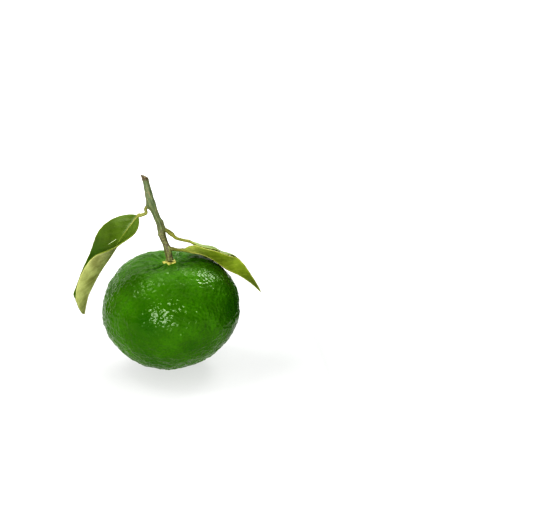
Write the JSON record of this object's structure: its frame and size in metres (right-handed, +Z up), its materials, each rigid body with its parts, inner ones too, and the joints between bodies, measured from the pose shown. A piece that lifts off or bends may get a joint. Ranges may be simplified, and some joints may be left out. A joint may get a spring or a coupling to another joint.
{
  "type": "clementine",
  "caption": "Green clementine with a flattened globe shape, a star-shaped calyx, a knotty woody stalk and folded leaves, resting on its base.",
  "frame": {"origin": "middle of the small flat spot the fruit rests on", "axes": "+Z up, out of the resting spot towards the stalk; +X to the right and +Y away from the viewer as the picture shows the fruit"},
  "size_m": [0.081, 0.0597, 0.0853],
  "materials": {
    "rind": "gloss",
    "calyx": "matte",
    "bark": "matte",
    "leaf_dark": "satin",
    "leaf_pale": "satin"
  },
  "bodies": {
    "root": {"fruit": "rind", "calyx": "calyx", "stem": "bark", "leaf_left": "leaf_dark", "leaf_right_front": "leaf_pale", "leaf_right_back": "leaf_pale"}
  },
  "joints": []
}
